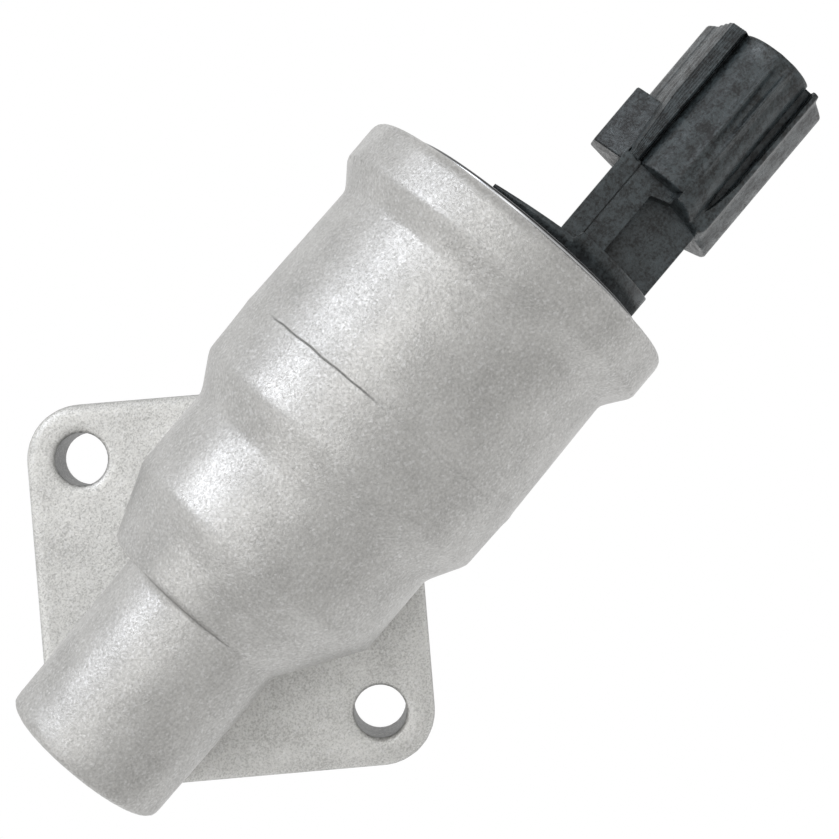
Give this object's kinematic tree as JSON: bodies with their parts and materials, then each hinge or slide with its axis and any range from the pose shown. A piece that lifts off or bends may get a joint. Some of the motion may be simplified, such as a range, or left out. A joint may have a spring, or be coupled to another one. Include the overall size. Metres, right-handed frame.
{
  "type": "idle air control valve",
  "caption": "Die-cast solenoid valve that meters idle air: a flanged body with ports in its mounting face, a sprung poppet on a sliding shaft, and a moulded connector.",
  "frame": {"origin": "centre of the mounting face, midway between the bolt holes", "axes": "+Z off the mounting face, +X along the valve axis towards the connector, +Y towards one bolt hole"},
  "size_m": [0.1219, 0.064, 0.0474],
  "materials": {
    "cast_aluminium": "bead-blasted die casting, fine grain",
    "black_plastic": "glass-filled moulding with a soft sheen",
    "plated_steel": "bright zinc plate",
    "core_steel": "turned soft-iron parts",
    "shaft_steel": "ground stainless",
    "spring_steel": "drawn spring wire",
    "brass": "turned brass",
    "bronze": "sintered bronze",
    "copper_wire": "enamelled copper winding",
    "former_plastic": "natural nylon",
    "seal_rubber": "moulded rubber",
    "tinned_brass": "tinned blade"
  },
  "bodies": {
    "housing": {"valve_body": "cast_aluminium", "inlet_seal": "seal_rubber", "outlet_seal": "seal_rubber", "seat_ring": "brass", "nose_bush": "bronze", "balance_spring": "spring_steel", "front_pole_plate": "core_steel", "pole_plate_seal": "seal_rubber", "rear_bush": "bronze", "return_spring": "spring_steel", "guide_tube": "brass", "stop_washer": "brass", "fixed_core": "core_steel", "coil_former": "former_plastic", "coil_winding": "copper_wire", "flux_tube": "core_steel", "coil_seal": "seal_rubber", "end_plate": "plated_steel", "connector": "black_plastic", "terminal_upper": "tinned_brass", "terminal_lower": "tinned_brass"},
    "valve": {"valve_shaft": "shaft_steel", "poppet": "brass", "poppet_facing": "seal_rubber", "poppet_clips": "spring_steel", "armature": "core_steel"}
  },
  "joints": [
    {"name": "valve_slide", "type": "slide", "parent": "housing", "child": "valve", "axis": [1, 0, 0], "range_m": [0, 0.004], "stiffness_N_per_m": 600, "deforming": ["return_spring", "balance_spring"]}
  ]
}
